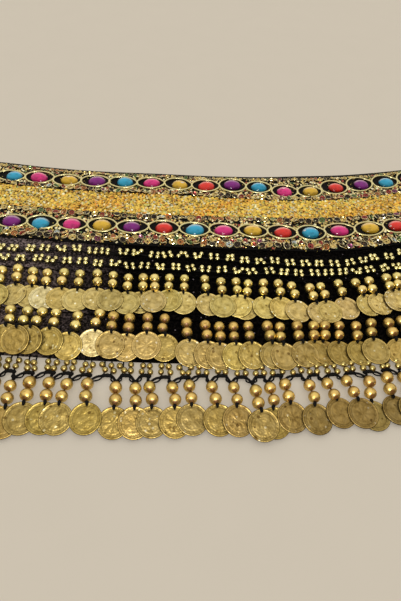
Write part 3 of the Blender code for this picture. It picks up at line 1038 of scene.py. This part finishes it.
# A place left of every strand, in mm.
LEFT_END = -330
UPPER_ROW = Row(
    "upper", "coin_row_upper", UPPER_ROOTS, ON_CLOTH, 4.2 * MM, 24.4 * MM, 4, 7.0 * MM, 7.05 * MM, BEAD_PALE,
    LEFT_END, (1.0, 1.0, 1.0),
    sewn=Sewn(66, 21, -118.5, (
        (3, 10.2), (4, 11.25), (2, 10.5), (1, 7.5), (2, 10.25), (1, 13.5), (2, 11), (3, 9.5),
        (1, 8.5), (1, 12), (1, 8.5), (1, 13.75), (1, 11), (1, 12), (1, 14.25), (1, 9),
    )),
    leans=((-95, 42, 11), (24, 12, 8), (55, 9, -15), (92, 25, 7), (127, 6, 26), (156, 11, -14)),
    tilts=(),
    drops=((-126, 32, 1.0), (-118, 7, 1.2), (-92, 9, 3.0), (-65, 6, 0.8), (-32, 6, 1.0), (-18, 7, 2.4),
           (31, 5, 1.3), (56, 7, 1.6), (80, 6, 1.9), (96, 9, 3.6), (127, 5, 1.0), (137, 5, -0.8)),
    lifts=((-8, 22, 2.2), (56, 8, 1.2), (145, 40, 1.7)), dim=((-60, 90, 0.12),),
    overlaps=((2, -1), (5, 1), (2, -1), (1, 1), (2, -1), (2, 1), (2, -1), (5, 1), (1, -1), (4, 1)),
    bright=(24,), seed=41,
)
LOWER_ROW = Row(
    "lower", "coin_row_lower", LOWER_ROOTS, ON_CLOTH, 3.2 * MM, 24.6 * MM, 14, 7.0 * MM, 7.15 * MM,
    BEAD_AMBER, -44, (0.96, 0.89, 0.79),
    sewn=Sewn(70, 25, -105.5, (
        (1, 12.25), (1, 10), (1, 7.25), (1, 14.5), (1, 13.5), (1, 8.75), (1, 10.25), (2, 11.25), (1, 13.5),
        (1, 11.5), (3, 9.3), (1, 12), (1, 8.5), (2, 11.25), (1, 7.5), (1, 10), (3, 11),
    )),
    leans=((-107, 8, 15), (-86, 5.5, -19), (-75, 5, 9), (-48, 6, -12), (-7, 6, -8), (18, 7, 8),
           (105, 26, -17), (129, 7, -10)),
    tilts=((-96, 34, 8), (100, 36, -13)),
    drops=((-106, 6, 1.3), (-88, 14, 0.8), (-62, 5, 2.0), (-48, 5, -1.5), (-34, 34, -1.2), (-34, 10, 0.9),
           (25, 18, 1.6), (92, 22, -1.2), (162, 10, 3.0)),
    lifts=((98, 32, 2.2),), dim=((-110, 50, 0.18), (0, 55, 0.28), (110, 60, 0.32)),
    overlaps=((4, -1), (2, 1), (1, -1), (1, 1), (1, -1), (13, 1), (1, -1)),
    bright=(30,), seed=42,
)
HEM_ROW = Row(
    "hem", "coin_row_hem", HEM_ROOTS, 0.3 * MM, 3.7 * MM, 24.4 * MM, 9, 7.2 * MM, 7.5 * MM, BEAD_AMBER,
    LEFT_END, (0.82, 0.74, 0.62),
    sewn=Sewn(67, 25, -93, (
        (4, 10.75), (1, 16), (1, 11), (1, 8), (1, 13), (1, 10), (3, 12.7), (2, 9.25), (1, 14.5), (1, 10),
        (1, 12.8), (1, 15.25), (1, 11.4),
    )),
    leans=((-100, 14, 12), (-60, 7, -9), (-35, 16, 10), (10, 30, 13), (40, 14, 5), (93, 11, 23),
           (121, 9, -14)),
    tilts=((125, 40, -8),),
    drops=((-95, 7, 3.2), (-61, 8, -1.6), (-34, 6, 2.0), (-20, 14, 0.9), (54, 8, 1.6), (65, 5, -1.6),
           (-5, 7, 1.3), (8, 5, -1.3), (21, 5, 0.5), (33, 7, 1.1), (46, 7, 2.3), (74, 9, 1.0),
           (104, 9, -1.8)),
    lifts=((18, 40, 1.1), (65, 6, 1.8), (91, 8, 3.6), (130, 15, 1.5)),
    dim=((-60, 120, 0.36), (70, 90, 0.22), (150, 60, 0.32)),
    overlaps=((4, 1), (1, -1), (7, 1), (1, -1), (4, 1), (1, -1), (1, 1)),
    bright=(), seed=43,
)
# The tint that makes a coin's gold silvery: a painted shine for a coin that catches the light.
PAINTED_SHINE_TINT = (1.12, 1.25, 1.8)
# The least gap from one strand's beads to the next strand's.
BEAD_GAP = 0.05 * MM


def strand_plan(row):
    """Angles and leans of a row's strands: as sewn where that shows, else uneven, and never too close."""
    chance = np.random.default_rng(row.seed)
    radius = TOP_RADIUS + row.depth + row.first
    count, first, start, gaps = row.sewn
    sewn = (start + np.concatenate([[0], np.cumsum(runs(gaps))])) * MM
    last = first + len(sewn) - 1
    at = even_angles(count) * radius
    at[:first] += (sewn[0] - at[first]) * np.linspace(0, 1, first) ** 2
    at[last + 1 :] += (sewn[-1] - at[last]) * np.linspace(1, 0, count - last - 1) ** 2
    at += chance.uniform(-1.8, 1.8, count) * MM
    at[first : last + 1] = sewn
    lean = chance.normal(0, 2.0, count) + bumps(at, row.leans)
    for _ in range(20):
        tight = np.maximum(0, row.bead + BEAD_GAP - np.diff(at)) / 2
        at[:-1] -= tight
        at[1:] += tight
    return at, at / radius, np.radians(lean)


# One direction set for each strand: across it, down it and up from the floor.
Strands = namedtuple("Strands", "at angles across outward up root drop")


def hang_strands(row):
    """Where a row's strands hang from, and the directions of each."""
    at, angles, lean = strand_plan(row)
    chance = np.random.default_rng(row.seed + 10)
    cos, sin = np.cos(lean)[:, None], np.sin(lean)[:, None]
    outward = down(angles) * cos + along(angles) * sin
    across = along(angles) * cos - down(angles) * sin
    up = np.tile(UP, (len(angles), 1))
    drop = chance.normal(0, 0.45 * MM, len(angles)) + bumps(at, row.drops) * MM
    return Strands(at, angles, across, outward, up, place(angles, row.depth, row.base), drop)


def bead_pairs(row, strands):
    """Two round beads on each strand: the middles of the first and of the second."""
    chance = np.random.default_rng(row.seed + 20)
    count = len(strands.angles)
    size = row.bead * chance.uniform(0.95, 1.04, count)
    lift = strands.up * (size / 2 + 0.1 * MM)[:, None]
    first = strands.root + strands.outward * (row.first + strands.drop)[:, None] + lift
    kink = chance.normal(0, 0.35 * MM, count)[:, None]
    second = first + strands.outward * row.step + strands.across * kink
    sizes = np.concatenate([size, size * chance.uniform(0.96, 1.03, count)])
    axes = turned(np.tile(strands.outward, (2, 1)), np.tile(strands.up, (2, 1))) * sizes[:, None, None]
    shape = stamp(BEAD_BALL, np.concatenate([first, second]), axes)
    tint = chance.uniform(0.86, 1.06, (2 * count, 1)) * chance.uniform(0.97, 1.03, (2 * count, 3))
    tint = spread(tint, BEAD_BALL)
    pale = np.tile(strands.at < row.pale_end * MM, 2)
    picks = np.repeat(pale.astype(int), len(BEAD_BALL[1]))
    materials = [row.beads, BEAD_PALE] if pale.any() else [row.beads]
    new_piece(f"beads_{row.name}", shape, materials, row.node, "coin_gold", picks=picks, tints=tint)
    return first, second


def shingled(row, count):
    """Heights of each coin's left and right edges: up where it lies on its neighbour, down where under it."""
    pattern = runs(row.overlaps)
    order = pattern[(np.arange(count - 1) - row.sewn.first) % len(pattern)]
    half = 0.5 * MM
    left = np.where(np.concatenate([[-1], order]) > 0, half, -half)
    right = np.where(np.concatenate([order, [1]]) < 0, half, -half)
    return left, right


def coins(row, strands):
    """A coin on each strand, hanging straighter than its beads: middles, and directions down and up."""
    chance = np.random.default_rng(row.seed + 30)
    count = len(strands.angles)
    left, right = shingled(row, count)
    pitch = 2 * BAND_HALF_ANGLE * (TOP_RADIUS + row.depth) / count
    slope = ((right - left) / pitch)[:, None]
    tilt = row.tilt + bumps(strands.at, row.tilts) + chance.normal(0, 1.5, count)
    tilt = np.radians(np.maximum(tilt, 0))
    cos, sin = np.cos(tilt)[:, None], np.sin(tilt)[:, None]
    hang = unit(strands.outward * COIN_LEAN + down(strands.angles) * (1 - COIN_LEAN))
    across = np.cross(strands.up, hang)
    face_up = unit(strands.up * cos + hang * sin - across * slope)
    face_down = unit(hang - face_up * np.sum(hang * face_up, 1)[:, None])
    beads = row.first + row.step
    reach = row.coin_drop - beads + chance.normal(0, 0.5 * MM, count) - bumps(strands.at, row.lifts) * MM
    rise = 1.2 * MM + (COIN / 2) * np.sin(tilt) + (left + right) / 2
    middle = strands.root + strands.outward * (beads + strands.drop)[:, None] + hang * reach[:, None]
    middle = middle + strands.up * rise[:, None] + across * chance.normal(0, 0.8 * MM, count)[:, None]
    size = COIN * chance.uniform(0.985, 1.01, (count, 1, 1))
    axes = turned(face_down, face_up, chance.uniform(*ANY_TURN, count)) * size
    coin_tone_and_shine = chance.uniform(0.84, 1.08, (count, 1))
    coin_tone_and_shine = coin_tone_and_shine * chance.uniform((0.98, 0.96, 0.86), (1.0, 1.03, 1.1), (count, 3))
    coin_tone_and_shine = coin_tone_and_shine * (1 - bumps(strands.at, row.dim))[:, None]
    # Painted shine: the bright strands' coins are tinted silvery.
    coin_tone_and_shine[list(row.bright)] = PAINTED_SHINE_TINT
    parts, tints = [], []
    for design, (template, shade) in enumerate(COINS):
        mine = np.arange(count) % len(COINS) == design
        parts.append(stamp(template, middle[mine], axes[mine]))
        tints.append(np.tile(shade, mine.sum())[:, None] * spread(coin_tone_and_shine[mine] * row.shade, template))
    tint = np.concatenate(tints)
    new_piece(f"coins_{row.name}", join(parts), [COIN_GOLD], row.node, "coin_gold", tints=tint)
    return middle, face_down, face_up


def knots(row, strands, beads, laid):
    """Black thread from the root through both beads, and the knot that holds the coin by its hole."""
    first, second = beads
    middle, face_down, face_up = laid
    hole = middle - face_down * (COIN * 0.5 - 2.1 * MM) + face_up * 0.5 * MM
    edge = middle - face_down * (COIN * 0.5 - 0.1 * MM) + face_up * 0.9 * MM
    foot = second + strands.outward * (row.bead * 0.44)
    top = first - strands.outward * row.bead * 0.45
    start = strands.root - strands.outward * 0.8 * MM + strands.up * 0.8 * MM
    joint = first + strands.outward * row.bead * 0.4
    lift = np.array((0, 0, 0.2 * MM))
    girth = np.array([0.5, 0.7, 0.95, 1.05, 1.0, 0.85, 0.4]) * MM
    cords = []
    for i in range(len(strands.angles)):
        path = (foot[i], (foot[i] + edge[i]) / 2 + lift, edge[i], (edge[i] + hole[i]) / 2 + lift, hole[i])
        cords.append(cord(path, 7, girth, 7))
        cords.append(cord((start[i], (start[i] + top[i]) / 2, top[i]), 4, 0.6 * MM, 5))
        cords.append(tube((joint[i], (joint[i] + second[i]) / 2, second[i]), 0.5 * MM, 5))
    new_piece(f"knots_{row.name}", join(cords), [BLACK_THREAD], row.node, "coin_gold")


for coin_row in (UPPER_ROW, LOWER_ROW, HEM_ROW):
    hung = hang_strands(coin_row)
    pairs = bead_pairs(coin_row, hung)
    knots(coin_row, hung, pairs, coins(coin_row, hung))

# ---------------------------------------------------------------- small beads and net
SMALL_BALL = globe(10, 7)
# Small beads on the cloth and on the net.
SEED = 3.4 * MM
NET_BEAD = 4.0 * MM
# depth, how many clusters, and where the row sits low, in mm.
SeedRow = namedtuple("SeedRow", "depth count sags")
SEED_ROWS = (SeedRow(95.4, 64, ((-130, 45, 3.6), (95, 60, 4.0))), SeedRow(107.9, 65, ((-62, 28, -1.4),)))


def clusters(centres, angles, chance, bead, fan):
    """Two short columns of two small beads about each centre, each column tipped its own way."""
    origins, forwards = [], []
    for centre, angle in zip(centres, angles):
        gap = bead * chance.uniform(0.5, 0.72)
        for side in (-1, 1):
            tip = math.radians(chance.normal(0, fan))
            axis = down(angle) * math.cos(tip) + along(angle) * math.sin(tip)
            spot = centre + along(angle) * side * gap + down(angle) * chance.normal(0, 0.35 * MM)
            for step in (-0.5, 0.5):
                origins.append(spot + axis * step * bead)
                forwards.append(axis)
    return np.array(origins), np.array(forwards)


def small_beads(name, origins, forwards, chance, bead, material, node, slot):
    up = np.tile(UP, (len(origins), 1))
    size = bead * chance.uniform(0.93, 1.06, (len(origins), 1, 1))
    shape = stamp(SMALL_BALL, origins, turned(forwards, up) * size)
    tint = spread(chance.uniform(0.8, 1.06, (len(origins), 1)) * np.ones(3), SMALL_BALL)
    new_piece(name, shape, [material], node, slot, tints=tint)


def seed_rows():
    """Two rows of small beads on the cloth, with black thread from one cluster to the next."""
    chance = np.random.default_rng(61)
    origins, forwards, threads = [], [], []
    for row in SEED_ROWS:
        count = row.count
        angles = even_angles(count) + chance.normal(0, 0.7 * MM, count) / TOP_RADIUS
        depth = (row.depth + bumps(angles * TOP_RADIUS, row.sags) + chance.normal(0, 0.5, count)) * MM
        centres = place(angles, depth, ON_CLOTH + SEED * 0.5)
        spots, axes = clusters(centres, angles, chance, SEED, 16)
        origins.append(spots)
        forwards.append(axes)
        for i in range(count - 1):
            ends = np.array([centres[i], (centres[i] + centres[i + 1]) / 2, centres[i + 1]])
            ends[:, 2] -= 0.8 * MM
            ends[1] += down(angles[i]) * 1.6 * MM
            threads.append(cord(ends, 7, 0.5 * MM, 5))
    beads = (np.concatenate(origins), np.concatenate(forwards), chance, SEED, SEED_GOLD)
    small_beads("small_beads_on_cloth", *beads, "coin_row_upper", "coin_gold")
    new_piece("small_bead_threads", join(threads), [BLACK_THREAD], "coin_row_upper", "coin_gold")


# Depths on the net: the threads' upper ends, the clusters, the knots over the hem's strands and the arches'
# lower ends.
NET_FOOT = 183.4 * MM
NET_CLUSTERS = 189.2 * MM
NET_KNOTS = (196.2 * MM, 197.8 * MM, 199.6 * MM)
NET_LOW = 197.9 * MM


def net():
    """The crochet edging: clusters of four small beads hung from the hem, each on a thick bar of thread, with
    double threads that arch from the bars down to the points where the hem's strands hang."""
    chance = np.random.default_rng(71)
    radius = TOP_RADIUS + NET_TOP
    posts = BAND_HALF_ANGLE * (2 * np.arange(NET_UNITS + 1) / NET_UNITS - 1)
    posts[1:-1] += chance.normal(0, 0.5 * MM, NET_UNITS - 1) / radius
    hang = strand_plan(HEM_ROW)[1]
    deep = NET_CLUSTERS + chance.normal(0, 0.5 * MM, NET_UNITS + 1)
    origins, forwards = clusters(spot_on_floor(posts, deep, 2.1 * MM), posts, chance, NET_BEAD, 17)
    small_beads("net_beads", origins, forwards, chance, NET_BEAD, NET_GOLD, "net_edging", "black_net")
    lumps = np.array([0.8, 1.2, 1.05, 1.3, 1.1, 1.2, 0.8]) * MM
    cords = []
    for k, post in enumerate(posts):
        bar = deep[k] + 4.2 * MM
        for side in (-1, 1):
            shift = side * 2.0 * MM / radius
            top = spot_on_floor(post + shift * chance.uniform(0.5, 1.5), NET_FOOT, 1.2 * MM)
            low = spot_on_floor(post + shift, bar - 0.8 * MM, 1.4 * MM)
            middle = spot_on_floor(post + shift, deep[k] - 1.5 * MM, 1.7 * MM)
            cords.append(cord((top, middle, low), 6, 0.5 * MM, 5))
            neighbour = k if side > 0 else k - 1
            if 0 <= neighbour < NET_UNITS:
                cords += arches(post, side, bar, hang[neighbour], radius)
        wide = 3.2 * MM / radius
        ends = [spot_on_floor(post + s * wide, bar + abs(s) * 0.4 * MM, 1.4 * MM) for s in (-1, 0, 1)]
        cords.append(cord(ends, 7, lumps, 7))
    for angle in hang:
        knot = [spot_on_floor(angle, depth, 1.6 * MM) for depth in NET_KNOTS]
        cords.append(cord(knot, 5, np.array([0.7, 1.2, 1.3, 1.0, 0.5]) * MM, 7))
    new_piece("net_threads", join(cords), [BLACK_THREAD], "net_edging", "black_net")


def spot_on_floor(angle, depth, height):
    """A place beyond the hem, where no cloth lifts it."""
    return place(angle, depth, height, creased=False)


def arches(post, side, bar, goal, radius):
    """The thick and the thin thread from one end of a bar down to a strand's root."""
    cords = []
    for line, girth in ((0, 0.72 * MM), (1, 0.45 * MM)):
        out = spot_on_floor(post + side * 2.6 * MM / radius, bar + (0.3 + 0.6 * line) * MM, 1.2 * MM)
        bend_at = post + (goal - post) * (0.62 - 0.14 * line)
        bend = spot_on_floor(bend_at, bar + (1.0 + 2.0 * line) * MM, 1.1 * MM)
        end = spot_on_floor(goal, NET_LOW, 1.5 * MM)
        cords.append(cord((out, bend, end), 8, girth, 6, ridge=0.15, twists=4))
    return cords


seed_rows()
net()


# ---------------------------------------------------------------- ties
def tie(name, side):
    """A plain tie: one flat layer of cloth with rounded edges, in the solid's shallow wave."""
    steps, rows = 84, 12
    half_width = (TIE_DEPTH[1] - TIE_DEPTH[0]) / 2
    start = side * (BAND_HALF_ANGLE + SEAM / TOP_RADIUS)
    point = place(start, sum(TIE_DEPTH) / 2, 0, creased=False)
    across = np.linspace(-1, 1, rows + 1)
    edge = np.sqrt(1 - np.maximum(0, np.abs(across) - 0.86) / 0.14)
    grid = []
    for i in range(steps + 1):
        part = i / steps
        heading = np.array(start - side * TIE_WAVE * math.sin(math.pi * part))
        slant = along(heading) * side * TIE_SLANT * part**6
        line = point + np.outer(across, down(heading) * half_width) + np.outer((across + 1) / 2, slant)
        fade = math.sin(math.pi * min(1, part * 1.3)) ** 2
        ripple = 0.55 * MM * (1 + np.sin(9 * part + 1.5 * across)) * fade
        line[:, 2] = ripple + CLOTH * (0.55 + 0.45 * edge)
        grid.append(line)
        point = point + along(heading) * side * TIE_LENGTH / steps
    top = np.array(grid)
    low = top.copy()
    low[..., 2] = np.maximum(CLEAR, top[..., 2] - CLOTH)
    piece = new_piece(f"{name}_cloth", shell(top, low, side < 0), [BLACK_CLOTH], name, "black_cloth")


tie("tie_left", -1)
tie("tie_right", 1)
